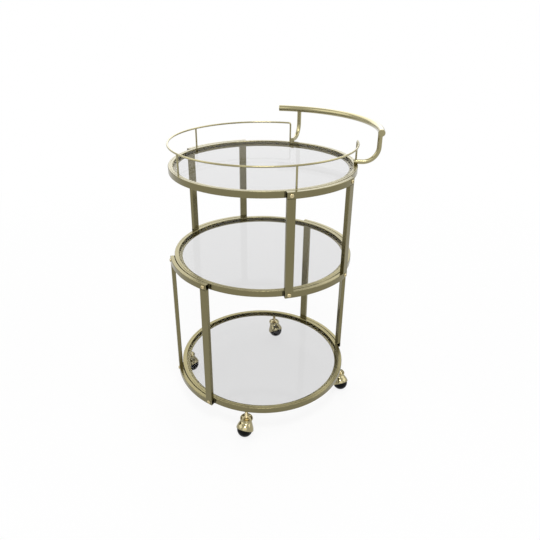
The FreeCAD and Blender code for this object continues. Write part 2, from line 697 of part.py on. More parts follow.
def build_handle_screws():
    """A screw from under the top ring up into each handle arm."""
    body = new_body("handle_screws", x=TIER_AXIS, z=TOP_LEVEL)
    under = "-dims.band_height"
    edge = under + " - dims.screw_head_edge"
    crown = under + " - dims.screw_head_height"
    socket = crown + " + dims.socket_depth"
    shank = BAND_CENTRE + " + dims.screw_radius"
    head = BAND_CENTRE + " + dims.screw_head_radius"
    recess = BAND_CENTRE + " + dims.socket_radius"
    for angle in ("dims.arm_angle_right", "-dims.arm_angle_left"):
        sketch = new_sketch(body, "XZ_Plane", turn=angle)
        draw_outline(sketch, [
            (BAND_CENTRE, "dims.arm_screw_bite"),
            (shank, "dims.arm_screw_bite"),
            (shank, under),
            (head, under),
            (head, edge),
            (recess, crown),
            (recess, socket),
            (BAND_CENTRE, socket),
        ])
        draw_upright_axis(sketch, BAND_CENTRE)
        turn_section(body, sketch, axis="Axis0")


# ---------------------------------------------------------------- casters

CASTERS = {
    # name: angle of its stem about the tiers' axis, direction that its wheel trails in
    "rear_right": (45, -94.4),
    "front_right": (135, -82.4),
    "front_left": (-135, -149.9),
    "rear_left": (-45, -96.4),
}


def caster_body(kind, name, forward="0", up="0"):
    """A body on the floor under a caster's stem, with +X along the way its wheel trails."""
    stem_angle, trail_angle = CASTERS[name]
    body = new_body("caster_%s_%s" % (kind, name), turn=str(trail_angle), z=up)
    spot = Rotation(Vector(0, 0, 1), stem_angle).multVec(Vector(1, 0, 0))
    ahead = Rotation(Vector(0, 0, 1), trail_angle).multVec(Vector(1, 0, 0))
    place = "%s * %.12f + %s * %.12f"
    body.setExpression(".Placement.Base.x", TIER_AXIS + " + " + place
                       % (BAND_CENTRE, spot.x, forward, ahead.x))
    body.setExpression(".Placement.Base.y", place % (BAND_CENTRE, spot.y, forward, ahead.y))
    return body


def build_stem(name):
    """The swivel pin: threaded into the ring at the top, headed under the hood's cup."""
    body = caster_body("stem", name)
    top = "dims.caster_height + dims.stem_engage"
    foot_top = STEM_FOOT + " + dims.rivet_thick"
    sketch = new_sketch(body, "XZ_Plane")
    draw_outline(sketch, [
        ("0", STEM_FOOT),
        ("dims.rivet_radius", STEM_FOOT),
        ("dims.rivet_radius", foot_top),
        ("dims.stem_radius", foot_top),
        ("dims.stem_radius", "dims.caster_height"),
        ("dims.stem_thread", "dims.caster_height"),
        ("dims.stem_thread", top),
        ("0", top),
    ])
    turn_section(body, sketch)


def build_stem_hardware():
    """For the four stems: inserts in the bottom ring, and nuts and washers in the cups."""
    washer_seat = CUP_TOP + " + dims.swivel_play"
    nut_seat = washer_seat + " + dims.washer_thick"
    pieces = [
        # node, foot, height, outer radius (none for a hexagon), hole radius
        ("caster_inserts", "dims.caster_height", "dims.stem_engage", STEM_HOLE,
         "dims.stem_thread"),
        ("caster_washers", washer_seat, "dims.washer_thick", "dims.washer_radius",
         "dims.stem_radius"),
        ("caster_nuts", nut_seat, "dims.nut_thick", None, "dims.stem_radius"),
    ]
    for name, foot, height, outer, hole in pieces:
        body = new_body(name, turn=FIRST_STEM, x=TIER_AXIS, z=foot)
        sketch = new_sketch(body, "XY_Plane")
        if outer:
            draw_circle(sketch, BAND_CENTRE, "0", outer)
        else:
            draw_hexagon(sketch, BAND_CENTRE, "dims.nut_corner")
        draw_circle(sketch, BAND_CENTRE, "0", hole)
        repeat_round(body, [raise_section(body, sketch, height)], 4)


def draw_hexagon(sketch, centre, corner):
    """A hexagon about a point of the horizontal axis."""
    corners = []
    for angle in range(0, 360, 60):
        x = "%s + %s * cos(%d deg)" % (centre, corner, angle)
        y = "%s * sin(%d deg)" % (corner, angle)
        corners.append((x, "0" if angle % 180 == 0 else y))
    draw_outline(sketch, corners)


def build_hood(name):
    """The cast hood: a dome and skirt over the wheel, a neck, and a cup for the stem."""
    body = caster_body("hood", name)
    centre = "dims.wheel_radius"
    dome = new_sketch(body, "XZ_Plane", along="dims.caster_trail")
    draw_outline(dome, [
        ("0", "0"),
        ("0", "%s + %s" % (centre, HOOD_RADIUS)),
        (HOOD_RADIUS, centre),
        (HOOD_RADIUS, "0"),
    ], arcs={1: ("DistanceX", "0")})
    turn_section(body, dome)
    shoulder = new_sketch(body, "XY_Plane", lift=centre + " + dims.shoulder_rise")
    draw_circle(shoulder, "dims.caster_trail", "0",
                "sqrt(%s ^ 2 - dims.shoulder_rise ^ 2)" % HOOD_RADIUS)
    neck_top = COLLAR_TOP + " - dims.collar_height"
    neck = new_sketch(body, "XY_Plane", lift=neck_top)
    draw_circle(neck, "0", "0", "dims.neck_radius")
    loft = body.newObject("PartDesign::AdditiveLoft", body.Name + "_neck")
    loft.Profile = shoulder
    loft.Sections = [neck]
    loft.Ruled = True
    body.Tip = loft
    collar = new_sketch(body, "XZ_Plane")
    draw_outline(collar, [
        ("0", neck_top),
        ("dims.neck_radius", neck_top),
        ("dims.collar_radius", neck_top + " + dims.collar_bead"),
        ("dims.collar_radius", COLLAR_TOP + " - dims.collar_bead"),
        ("dims.collar_radius - dims.collar_wall / 2", COLLAR_TOP),
        ("0", COLLAR_TOP),
    ])
    turn_section(body, collar)
    cavity = new_sketch(body, "XZ_Plane", along="dims.caster_trail")
    draw_outline(cavity, [
        ("0", "-dims.cut_past"),
        ("0", "%s + %s" % (centre, CAVITY_RADIUS)),
        (CAVITY_RADIUS, centre),
        (CAVITY_RADIUS, "-dims.cut_past"),
    ], arcs={1: ("DistanceX", "0")})
    turn_cut(body, cavity)
    cup = new_sketch(body, "XZ_Plane")
    rim_inner = "dims.collar_radius - dims.collar_wall"
    head_room = "dims.rivet_radius + dims.wheel_play"
    pin_bore = "dims.stem_radius + dims.running_play"
    draw_outline(cup, [
        ("0", COLLAR_TOP + " + dims.cut_past"),
        (rim_inner, COLLAR_TOP + " + dims.cut_past"),
        (rim_inner, COLLAR_TOP + " - dims.collar_bead"),
        ("dims.cup_radius", CUP_TOP),
        (pin_bore, CUP_TOP),
        (pin_bore, CUP_UNDER),
        (head_room, CUP_UNDER),
        (head_room, centre),
        ("0", centre),
    ])
    turn_cut(body, cup)
    mouth = new_sketch(body, "XZ_Plane", along="dims.caster_trail")
    reach = "2 * " + HOOD_RADIUS
    slope = "%s * tan(dims.mouth_tilt * 1deg)" % reach
    level = "%s - dims.mouth_drop" % centre
    draw_outline(mouth, [
        ("-" + reach, "-%s" % reach),
        ("-" + reach, "%s - %s" % (level, slope)),
        (reach, "%s + %s" % (level, slope)),
        (reach, "-%s" % reach),
    ])
    sink_section(body, mouth, centred=True)
    pin = new_sketch(body, "XZ_Plane")
    draw_circle(pin, "dims.caster_trail", centre, "dims.axle_radius")
    sink_section(body, pin, centred=True)


def build_axle_and_wheel(name):
    """The cross pin in the hood, and the ball wheel that turns on it."""
    axle = caster_body("axle", name)
    pin = new_sketch(axle, "XZ_Plane")
    draw_circle(pin, "dims.caster_trail", "dims.wheel_radius", "dims.axle_radius")
    raise_section(axle, pin, "2 * %s" % HOOD_RADIUS, centred=True)
    wheel = caster_body("wheel", name, forward="dims.caster_trail", up="dims.wheel_radius")
    bore = "dims.axle_radius + dims.running_play"
    side = "dims.wheel_half_width"
    flat = "sqrt(dims.wheel_radius ^ 2 - dims.wheel_half_width ^ 2)"
    section = new_sketch(wheel, "XY_Plane")
    draw_outline(section, [
        (bore, "-" + side),
        (bore, side),
        (flat, side),
        (flat, "-" + side),
    ], arcs={2: ("DistanceX", "0")})
    turn_section(wheel, section)


# ---------------------------------------------------------------- the whole trolley

rings = {}
for tier in TIERS:
    rings[tier] = build_ring(tier)
    build_glass(tier)
    build_pads(tier)
    build_frame_screws(tier)
    build_frame_inserts(tier)
    build_frame_spacers(tier)
build_handle_holes(rings["top"])
build_stem_holes(rings["bottom"])

UNDER_MIDDLE = "(%s - dims.band_height)" % MIDDLE_LEVEL
build_frame("upper_frame_right", "90", UNDER_MIDDLE, TOP_LEVEL)
build_frame("upper_frame_left", "-90", UNDER_MIDDLE, TOP_LEVEL)
build_frame("lower_frame_rear", "0", "dims.caster_height", MIDDLE_LEVEL)
build_frame("lower_frame_front", "180", "dims.caster_height", MIDDLE_LEVEL)

build_rail()
build_posts()
build_handle_bar()
build_end_caps()
for side, angle in (("right", "dims.arm_angle_right"), ("left", "-dims.arm_angle_left")):
    build_handle_arm(side, angle)
build_handle_screws()

build_stem_hardware()
for caster in CASTERS:
    build_stem(caster)
    build_hood(caster)
    build_axle_and_wheel(caster)

document.recompute()

faults = [item.Name for item in document.Objects if {"Invalid", "Error"} & set(item.State)]
if faults:
    raise RuntimeError("failed features: " + ", ".join(faults))
for node in nodes:
    if node.Shape.isNull() or not node.Shape.isValid() or not node.Shape.Solids:
        raise RuntimeError("bad shape: " + node.Label)

os.makedirs("parts", exist_ok=True)
for node in nodes:
    node.Shape.exportStep(os.path.join("parts", node.Label + ".step"))
print(len(nodes), "nodes written")
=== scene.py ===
# %% [markdown]
# # A round dessert trolley
# This lesson dresses a round dessert trolley: three tube rings with glass panes, curved
# frames between them, a wire gallery, a push handle and four hooded ball casters. The solid
# parts come from CAD as a fixed frame, so every size and place is already right. What is
# made here is what the eye adds: finishes, weld beads, screw heads, threads and castings.

# %% Load the frame
import json
import math

import bmesh
import bpy
from mathutils import Matrix, Vector


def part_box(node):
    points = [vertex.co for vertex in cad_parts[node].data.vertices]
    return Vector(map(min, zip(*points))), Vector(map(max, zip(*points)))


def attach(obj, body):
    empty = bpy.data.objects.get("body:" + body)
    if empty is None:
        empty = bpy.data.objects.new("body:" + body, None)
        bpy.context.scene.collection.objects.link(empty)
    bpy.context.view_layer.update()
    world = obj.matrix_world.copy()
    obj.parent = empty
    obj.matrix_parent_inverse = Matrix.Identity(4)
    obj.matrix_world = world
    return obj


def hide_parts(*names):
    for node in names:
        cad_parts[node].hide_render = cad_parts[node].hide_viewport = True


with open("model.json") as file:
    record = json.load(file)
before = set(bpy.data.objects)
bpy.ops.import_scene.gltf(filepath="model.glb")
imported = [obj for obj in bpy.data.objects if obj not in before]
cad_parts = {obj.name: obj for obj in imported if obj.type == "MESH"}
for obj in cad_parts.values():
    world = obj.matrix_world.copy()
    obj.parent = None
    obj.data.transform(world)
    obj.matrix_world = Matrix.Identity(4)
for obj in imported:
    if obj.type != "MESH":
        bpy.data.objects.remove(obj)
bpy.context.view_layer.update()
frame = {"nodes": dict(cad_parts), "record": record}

nodes = frame["nodes"]

# %% [markdown]
# ## Where things are
# The frame is in metres. Where the box of a CAD node gives a place, it is read from there,
# and the other sizes are written in millimetres, as on a drawing. The three tiers share one
# upright axis, and each ring's top is a level.

# %% Measure the tiers
def middle_of(node):
    low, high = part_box(node)
    return (low + high) / 2


axis = Vector((middle_of("top_ring").x, 0, 0))
ring_top = {tier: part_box(tier + "_ring")[1].z for tier in ("top", "middle", "bottom")}
print("tier axis", tuple(round(c, 4) for c in axis), "ring tops", ring_top)

# %% [markdown]
# ## Finishes
# Each finish comes from a function that returns a material. The shader's own sockets hold
# every number that is the same all over, and nodes only bring what varies: the tone, the
# roughness and a very fine bump.

# %% Helpers for node materials
NOISE_LOW, NOISE_HIGH = 0.3, 0.7  # nearly all of the noise lies between these
MIX_FACTOR, MIX_COLOUR_A, MIX_COLOUR_B, MIX_COLOUR_OUT = 0, 6, 7, 2  # socket numbers
GRAIN_DEPTH = 0.0002
SCUFF_SCALE, SCUFF_PRESS, SCUFF_DEPTH = 220, 0.03, 0.0001


def new_finish(name):
    """A material with a Principled shader, its nodes and its links."""
    finish = bpy.data.materials.new(name)
    finish.use_nodes = True
    return finish, finish.node_tree.nodes, finish.node_tree.links


def cloudiness(tree_nodes, links, scale, detail=3.0):
    """Soft noise that follows the object, as the Fac output of a Noise Texture."""
    place = tree_nodes.new("ShaderNodeTexCoord")
    noise = tree_nodes.new("ShaderNodeTexNoise")
    noise.inputs["Scale"].default_value = scale
    noise.inputs["Detail"].default_value = detail
    links.new(place.outputs["Object"], noise.inputs["Vector"])
    return noise.outputs["Fac"]


def spread(tree_nodes, links, source, low, high):
    """Maps a 0 to 1 value to the range low to high."""
    ranged = tree_nodes.new("ShaderNodeMapRange")
    ranged.inputs["From Min"].default_value = NOISE_LOW
    ranged.inputs["From Max"].default_value = NOISE_HIGH
    ranged.inputs["To Min"].default_value = low
    ranged.inputs["To Max"].default_value = high
    links.new(source, ranged.inputs["Value"])
    return ranged.outputs["Result"]


def two_tones(tree_nodes, links, source, dark, light):
    """A colour that drifts between two tones."""
    mix = tree_nodes.new("ShaderNodeMix")
    mix.data_type = "RGBA"
    mix.inputs[MIX_COLOUR_A].default_value = (*dark, 1)
    mix.inputs[MIX_COLOUR_B].default_value = (*light, 1)
    links.new(source, mix.inputs[MIX_FACTOR])
    return mix.outputs[MIX_COLOUR_OUT]


def texture_bump(tree_nodes, links, source, shader, strength, depth):
    """Presses a texture into the surface."""
    bump = tree_nodes.new("ShaderNodeBump")
    bump.inputs["Strength"].default_value = strength
    bump.inputs["Distance"].default_value = depth
    links.new(source, bump.inputs["Height"])
    links.new(bump.outputs["Normal"], shader.inputs["Normal"])


# %% [markdown]
# The frame is steel with a satin champagne-gold coat. A metallic base colour with medium
# roughness gives the soft, wide highlights. The tone drifts a little over a few
# centimetres, and a very fine bump is the texture of the sprayed coat. The round rods,
# their welds and the handle's caps get a lighter copy of the same gold, which is painted
# sheen for the brighter reflections that rods catch.

# %% Satin gold, brass and steel
def metal(name, dark, light, rough, drift, grain, press):
    """A metal; drift and grain are scales of noise, and press is the bump's strength."""
    finish, tree_nodes, links = new_finish(name)
    shader = tree_nodes["Principled BSDF"]
    shader.inputs["Metallic"].default_value = 1.0
    clouds = cloudiness(tree_nodes, links, drift)
    links.new(two_tones(tree_nodes, links, clouds, dark, light), shader.inputs["Base Color"])
    fine = cloudiness(tree_nodes, links, grain, detail=2.0)
    links.new(spread(tree_nodes, links, fine, *rough), shader.inputs["Roughness"])
    texture_bump(tree_nodes, links, fine, shader, press, GRAIN_DEPTH)
    return finish


satin_gold = metal("satin_gold", dark=(0.175, 0.155, 0.081), light=(0.205, 0.182, 0.096),
                   rough=(0.20, 0.27), drift=14, grain=400, press=0.012)
# A lighter copy of the satin gold for round rods, their welds and caps: painted sheen for the
# brighter reflections rods catch.
painted_sheen_gold = metal("painted_sheen_gold", dark=(0.30, 0.27, 0.15), light=(0.35, 0.315, 0.18),
                 rough=(0.14, 0.20), drift=14, grain=400, press=0.01)
polished_brass = metal("polished_brass", dark=(0.30, 0.265, 0.15), light=(0.37, 0.325, 0.19),
                       rough=(0.05, 0.10), drift=40, grain=400, press=0.02)
bright_brass = metal("bright_brass", dark=(0.50, 0.42, 0.24), light=(0.58, 0.50, 0.30),
                     rough=(0.18, 0.30), drift=60, grain=600, press=0.03)
plain_steel = metal("plain_steel", dark=(0.50, 0.50, 0.48), light=(0.60, 0.60, 0.58),
                    rough=(0.25, 0.38), drift=60, grain=600, press=0.03)
print("metals:", satin_gold.name, painted_sheen_gold.name, polished_brass.name, bright_brass.name,
      plain_steel.name)

# %% [markdown]
# The wheels are hard, glossy black plastic that scuffs where it rolls. The spacers between
# rings and frames are plain plastic in a dark bronze colour. That colour is partly painted
# shade: it stands in for the shadow in the narrow gap between each frame and its ring.

# %% Dark plastics
def plastic(name, colour, rough, gloss):
    """A plain plastic whose scuffs change its roughness and press into it."""
    finish, tree_nodes, links = new_finish(name)
    shader = tree_nodes["Principled BSDF"]
    shader.inputs["Base Color"].default_value = (*colour, 1)
    shader.inputs["Specular IOR Level"].default_value = gloss
    scuffs = cloudiness(tree_nodes, links, SCUFF_SCALE, detail=5.0)
    links.new(spread(tree_nodes, links, scuffs, *rough), shader.inputs["Roughness"])
    texture_bump(tree_nodes, links, scuffs, shader, SCUFF_PRESS, SCUFF_DEPTH)
    return finish


gloss_black = plastic("gloss_black", (0.004, 0.004, 0.004), rough=(0.10, 0.2), gloss=0.08)
# Spacer colour: partly painted shade for the shadowed gap between frame and ring.
painted_gap_shade_bronze = plastic("painted_gap_shade_bronze", (0.075, 0.064, 0.028), rough=(0.45, 0.6), gloss=0.3)
print("plastics:", gloss_black.name, painted_gap_shade_bronze.name)

# %% [markdown]
# The panes are lightly smoked: white behind one of them turns a pale grey. A refracting
# solid could do this, but it is slow to clear up, and a pane this thin hardly bends what is
# seen through it. So each face mixes two shaders: a tinted transparent one, and a smaller
# share of dark polish that only mirrors.

# %% Glass and clear pads
def clear_stuff(name, tint, rough, polish_share):
    """Thin clear glass or plastic, dimmed by a tint and by its share of dark polish."""
    finish, tree_nodes, links = new_finish(name)
    polish = tree_nodes["Principled BSDF"]
    polish.inputs["Base Color"].default_value = (0, 0, 0, 1)
    polish.inputs["Roughness"].default_value = rough
    through = tree_nodes.new("ShaderNodeBsdfTransparent")
    through.inputs["Color"].default_value = (*tint, 1)
    mixed = tree_nodes.new("ShaderNodeMixShader")
    mixed.inputs["Fac"].default_value = polish_share
    links.new(through.outputs["BSDF"], mixed.inputs[1])
    links.new(polish.outputs["BSDF"], mixed.inputs[2])
    links.new(mixed.outputs["Shader"], tree_nodes["Material Output"].inputs["Surface"])
    return finish


smoked_glass = clear_stuff("smoked_glass", (0.93, 0.93, 0.932), rough=0.0,
                           polish_share=0.08)
clear_pad = clear_stuff("clear_pad", (0.97, 0.97, 0.97), rough=0.2, polish_share=0.1)
print("clear:", smoked_glass.name, clear_pad.name)

# %% Give every CAD node its finish
FINISHES = {
    "gold_frame": satin_gold,
    "polished_brass": polished_brass,
    "brass_fastener": bright_brass,
    "plain_steel": plain_steel,
    "black_wheel": gloss_black,
    "black_spacer": painted_gap_shade_bronze,
    "clear_pad": clear_pad,
    "clear_glass": smoked_glass,
}
# These rods get the lighter copy of the gold, whose extra brightness is painted sheen.
ROUND_RODS = ("handle_bar", "handle_arm_left", "handle_arm_right", "gallery_rail",
              "gallery_posts")
for entry in frame["record"]["subparts"]:
    mesh = nodes[entry["node"]].data
    mesh.materials.clear()
    rod = entry["node"] in ROUND_RODS
    mesh.materials.append(painted_sheen_gold if rod else FINISHES[entry["material_slot"]])

# %% [markdown]
# ## Shaping tools
# Nearly every small part of the trolley is turned, cast or welded, so three helpers do most
# of the work: one softens the corners of a profile, one turns a profile about an axis like
# a lathe, and one makes the finished mesh ride on its CAD body. Profiles are written in
# millimetres, as on a drawing, and scaled to metres at the very end.

# %% Shaping helpers
MM = 0.001
CLEAR = 0.02  # millimetres that keep two surfaces from lying in each other
scene = bpy.context.scene


def soften(points, radius, steps=4):
    """Rounds the inner corners of an open profile of (radius, height) points."""
    soft = [points[0]]
    for before, corner, after in zip(points, points[1:], points[2:]):
        corner = Vector(corner)
        back, ahead = Vector(before) - corner, Vector(after) - corner
        reach = min(radius, back.length * 0.49, ahead.length * 0.49)
        start = corner + back.normalized() * reach
        end = corner + ahead.normalized() * reach
        for step in range(steps + 1):
            t = step / steps
            blend = start * (1 - t) ** 2 + corner * 2 * t * (1 - t) + end * t ** 2
            soft.append(tuple(blend))
    soft.append(points[-1])
    return soft


def skin(edit, rings, closed=True):
    """Joins neighbouring rings of vertices with faces; a ring of one vertex is a tip."""
    for lower, upper in zip(rings, rings[1:]):
        count = max(len(lower), len(upper))
        for step in range(count if closed else count - 1):
            following = (step + 1) % count
            corners = [lower[step % len(lower)], lower[following % len(lower)],
                       upper[following % len(upper)], upper[step % len(upper)]]
            edit.faces.new(dict.fromkeys(corners))


def turn(edit, profile, around=48, shape=None):
    """Turns a profile about the Z axis. shape(radius, height, angle) can bend its radius."""
    rings = []
    for radius, height in profile:
        if radius < 1e-6:
            rings.append([edit.verts.new((0, 0, height))])
            continue
        ring = []
        for step in range(around):
            angle = 2 * math.pi * step / around
            reach = shape(radius, height, angle) if shape else radius
            ring.append(edit.verts.new((reach * math.cos(angle), reach * math.sin(angle),
                                        height)))
        rings.append(ring)
    skin(edit, rings)


def add_copies(edit, source, places):
    """Adds a copy of one small mesh at each place."""
    for place in places:
        vertices = {v: edit.verts.new(place @ v.co) for v in source.verts}
        for face in source.faces:
            edit.faces.new([vertices[v] for v in face.verts])
    source.free()


def make_piece(name, edit, finish, body, stands_for=(), place=None, sharp=35):
    """Finishes a mesh drawn in millimetres and lets it ride on a CAD body."""
    bmesh.ops.recalc_face_normals(edit, faces=edit.faces)
    to_frame = (place or Matrix.Identity(4)) @ Matrix.Scale(MM, 4)
    bmesh.ops.transform(edit, matrix=to_frame, verts=edit.verts)
    mesh = bpy.data.meshes.new(name)
    edit.to_mesh(mesh)
    edit.free()
    mesh.shade_smooth()
    mesh.set_sharp_from_angle(angle=math.radians(sharp))
    mesh.materials.append(finish)
    piece = bpy.data.objects.new(name, mesh)
    scene.collection.objects.link(piece)
    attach(piece, body)
    if stands_for:
        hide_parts(*stands_for)
    print(name, "has", len(mesh.polygons), "faces")
    return piece


def out_from_axis(angle, radius, height):
    """A frame, in metres, at a place around the tiers, with its X axis pointing outwards."""
    spin = Matrix.Rotation(math.radians(angle), 4, "Z")
    return Matrix.Translation(axis) @ spin @ Matrix.Translation((radius, 0, height))


def in_millimetres(place):
    """A place in metres, for copies drawn in millimetres."""
    return Matrix.Scale(1 / MM, 4) @ place @ Matrix.Scale(MM, 4)


SLOT_OF = {finish.name: slot_name for slot_name, finish in FINISHES.items()}
# The lighter rod gold is the frame's own finish with painted sheen, so it shares the frame's
# slot.
SLOT_OF[painted_sheen_gold.name] = "gold_frame"

# %% [markdown]
# ## Button-head screws
# Sixteen small domed screws pin the curved frames to the rings, and two more come up into
# the handle from below. A sphere would catch the light in the same way everywhere; a real
# head has a thin straight edge, a low dome and a hexagon socket, so its profile is turned
# and the socket's rings are bent into a hexagon.

# %% Screws
HEAD_RADIUS = 4.6
HEAD_HEIGHT = 2.7
EDGE_HEIGHT = 0.6
SOCKET_RADIUS = 1.7
SHANK_RADIUS = 2.5
FRAME_SHANK = 17
HANDLE_SHANK = 21.9
FRAME_SCREW_ANGLE = 20.5
SCREW_TWIST = 17  # degrees from one screw's socket to the next
FRAMES_AT = {"top": (90, -90), "middle": (0, 90, 180, -90), "bottom": (0, 180)}


def hexagon_reach(radius, angle):
    """How far a hexagon reaches at an angle, from its centre-to-corner radius."""
    within = (angle % (math.pi / 3)) - math.pi / 6
    return radius * math.cos(math.pi / 6) / math.cos(within)


def button_screw(shank):
    """A screw whose head sits on z = 0, with its shank below."""
    def socket(radius, height, angle):
        return hexagon_reach(radius, angle) if radius <= SOCKET_RADIUS else radius
    edit = bmesh.new()
    dome = [(HEAD_RADIUS * math.cos(step * math.pi / 16),
             EDGE_HEIGHT + (HEAD_HEIGHT - EDGE_HEIGHT) * math.sin(step * math.pi / 16)
             ** 0.9)
            for step in range(7)]
    turn(edit, [(0, -shank), (SHANK_RADIUS, -shank), (SHANK_RADIUS, 0),
                (HEAD_RADIUS - 0.1, 0), (HEAD_RADIUS, 0.15)] + dome
         + [(SOCKET_RADIUS + 0.15, HEAD_HEIGHT - 0.05), (SOCKET_RADIUS, HEAD_HEIGHT - 0.25),
            (SOCKET_RADIUS, HEAD_HEIGHT - 1.5), (0, HEAD_HEIGHT - 1.7)],
         around=36, shape=socket)
    return edit


frame_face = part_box("lower_frame_rear")[1].x - axis.x
for tier, centres in FRAMES_AT.items():
    screws = bmesh.new()
    level = middle_of(tier + "_frame_screws").z
    places = []
    for centre in centres:
        for side in (-1, 1):
            spot = out_from_axis(centre + side * FRAME_SCREW_ANGLE, frame_face, level)
            twist = Matrix.Rotation(math.radians(SCREW_TWIST * len(places)), 4, "Z")
            outwards = spot @ Matrix.Rotation(math.pi / 2, 4, "Y")
            places.append(in_millimetres(outwards) @ twist)
    add_copies(screws, button_screw(FRAME_SHANK), places)
    make_piece(tier + "_button_screws", screws, bright_brass, "trolley",
               stands_for=[tier + "_frame_screws"])
    print(len(places), "screws at the", tier, "ring")

# %% [markdown]
# ## The casters
# Each caster has its own swing and its own way its wheel trails, so its pieces are drawn
# once in a local frame, upright on the floor under the stem with +X the way the wheel
# trails, and then placed. The frame comes from two CAD boxes: the stem's and the wheel's.

# %% Caster frames
CASTERS = ("front_left", "front_right", "rear_left", "rear_right")
WHEEL_CENTRE = 19.5
TRAIL = 10.0


def caster_frame(caster):
    """The floor under a caster's stem, with its X axis the way the wheel trails."""
    stem = middle_of("caster_stem_" + caster)
    wheel = middle_of("caster_wheel_" + caster)
    swing = math.atan2(wheel.y - stem.y, wheel.x - stem.x)
    return Matrix.Translation((stem.x, stem.y, 0)) @ Matrix.Rotation(swing, 4, "Z")


for caster in CASTERS:
    print(caster, "stands at", tuple(round(c, 3) for c in caster_frame(caster).translation))

# %% [markdown]
# ## Stems and nuts
# The stem is a threaded rod under the ring, with a hexagon nut in the hood's cup. A thread
# could be a twisted curve; here the rod's radius follows a rising zigzag, which gives one
# closed mesh. The nut is a hexagon whose ends are turned down to a circle, which leaves the
# curved chamfers that every nut has.

# %% Threaded stems and nuts
STEM_RADIUS = 4.0
THREAD_PITCH = 1.25
THREAD_DEPTH = 0.62
THREAD_STEPS = 8  # rows of vertices to one turn
THREAD_LOW = 50.4
RING_UNDER = 70.0
END_RADIUS = 2.99
STEM_TOP = 79
RIVET_RADIUS = 5.5
RIVET_FOOT = 39.4
RIVET_TOP = 41.2
NUT_FOOT = 45.3
NUT_HEIGHT = 4.5
NUT_TOP = NUT_FOOT + NUT_HEIGHT
NUT_CORNER = 6.9


def thread_reach(radius, height, angle):
    """The rod's radius, cut by a thread with flat crests and roots above the nut."""
    if radius < STEM_RADIUS or not THREAD_LOW < height < RING_UNDER:
        return radius
    turns = height / THREAD_PITCH - angle / (2 * math.pi)
    zigzag = abs(2 * (turns % 1) - 1)
    fade = min(1, (height - THREAD_LOW) / THREAD_PITCH)
    return radius - THREAD_DEPTH * fade * min(1, max(0, 1.3 * zigzag - 0.15))


def nut_reach(radius, height, angle):
    """A hexagon that its chamfered ends cut to a circle."""
    from_end = min(height - NUT_FOOT, NUT_TOP - height)
    return min(hexagon_reach(radius, angle), NUT_CORNER * 0.93 + 1.7 * from_end)


thread_rows = int((RING_UNDER - THREAD_LOW) * THREAD_STEPS / THREAD_PITCH)
threaded = [(STEM_RADIUS, THREAD_LOW + THREAD_PITCH * step / THREAD_STEPS)
            for step in range(thread_rows + 1)]
for caster in CASTERS:
    rod = bmesh.new()
    turn(rod, [(0, RIVET_FOOT), (RIVET_RADIUS - 0.3, RIVET_FOOT),
               (RIVET_RADIUS, RIVET_FOOT + 0.3), (RIVET_RADIUS, RIVET_TOP),
               (STEM_RADIUS, RIVET_TOP)] + threaded
         + [(STEM_RADIUS, RING_UNDER), (END_RADIUS, RING_UNDER), (END_RADIUS, STEM_TOP),
            (0, STEM_TOP)], around=32, shape=thread_reach)
    make_piece("stem_" + caster, rod, bright_brass, "trolley",
               stands_for=["caster_stem_" + caster], place=caster_frame(caster), sharp=50)

nuts = bmesh.new()
one_nut = bmesh.new()
flats = [(NUT_CORNER, NUT_FOOT + NUT_HEIGHT * step / 12) for step in range(13)]
turn(one_nut, [(STEM_RADIUS + CLEAR, NUT_FOOT), (NUT_CORNER - 0.6, NUT_FOOT)] + flats
     + [(NUT_CORNER - 0.6, NUT_TOP), (4.6, NUT_TOP), (STEM_RADIUS + CLEAR, NUT_TOP - 0.5)],
     around=72, shape=nut_reach)
add_copies(nuts, one_nut, [in_millimetres(caster_frame(caster)) for caster in CASTERS])
make_piece("stem_nuts", nuts, bright_brass, "trolley", stands_for=["caster_nuts"], sharp=25)

# %% [markdown]
# ## Cast hoods
# The hood is a zinc casting, polished and plated: a dome over the ball, drawn in to a neck,
# and a flared cup with a rounded rim that holds the nut. The sphere and the neck could be
# joined as separate solids, but a casting flows from one into the other. So the hood is a
# stack of rounded sections whose left, right and side edges are blended smoothly, and the
# mouth is cut on a slant by starting each column at its own height.

# %% Hood sections
HOOD_RADIUS = 21.9
CAVITY_RADIUS = 20.4
NECK_RADIUS = 12.8
NECK_FOOT = 27.5
NECK_TOP = 43.2
MOUTH_LEVEL = WHEEL_CENTRE
MOUTH_SLOPE = math.tan(math.radians(32))
NECK_BLEND = 2.4
NECK_WAIST = 0.8
LIP_DROP = 0.35
COLUMNS = 72
ROWS = 30


def smooth_max(a, b, softness):
    """The larger of two numbers, with a soft passage where they are nearly equal."""
    return (a + b + math.sqrt((a - b) ** 2 + softness ** 2)) / 2


def dome_reach(height, radius=HOOD_RADIUS):
    """The dome's radius at a height; straight below the wheel's centre."""
    above = max(0.0, height - WHEEL_CENTRE)
    return math.sqrt(max(0.0, radius ** 2 - above ** 2))


def hood_point(angle, height):
    """A point of the hood's outside, all but the collar."""
    dome = dome_reach(height)
    if height < NECK_FOOT:
        back, front, side = TRAIL - dome, TRAIL + dome, dome
    else:
        share = (height - NECK_FOOT) / (NECK_TOP - NECK_FOOT)
        centre = TRAIL * (1 - share)
        reach = dome_reach(NECK_FOOT) * (1 - share) + NECK_RADIUS * share
        softness = NECK_BLEND * math.sin(math.pi * share)
        back = -smooth_max(reach - centre, dome - TRAIL, softness)
        front = smooth_max(centre + reach, TRAIL + dome * (1 - share ** 6), softness)
        side = smooth_max(reach, dome, softness) - NECK_WAIST * math.sin(math.pi * share)
    centre, half = (front + back) / 2, (front - back) / 2
    return Vector((centre + half * math.cos(angle), side * math.sin(angle), height))


def mouth_height(outline, angle):
    """Where a column of the hood meets the slanted mouth."""
    height = MOUTH_LEVEL
    for _ in range(30):
        height = (height + MOUTH_LEVEL + MOUTH_SLOPE * (outline(angle, height).x - TRAIL)) / 2
    return height


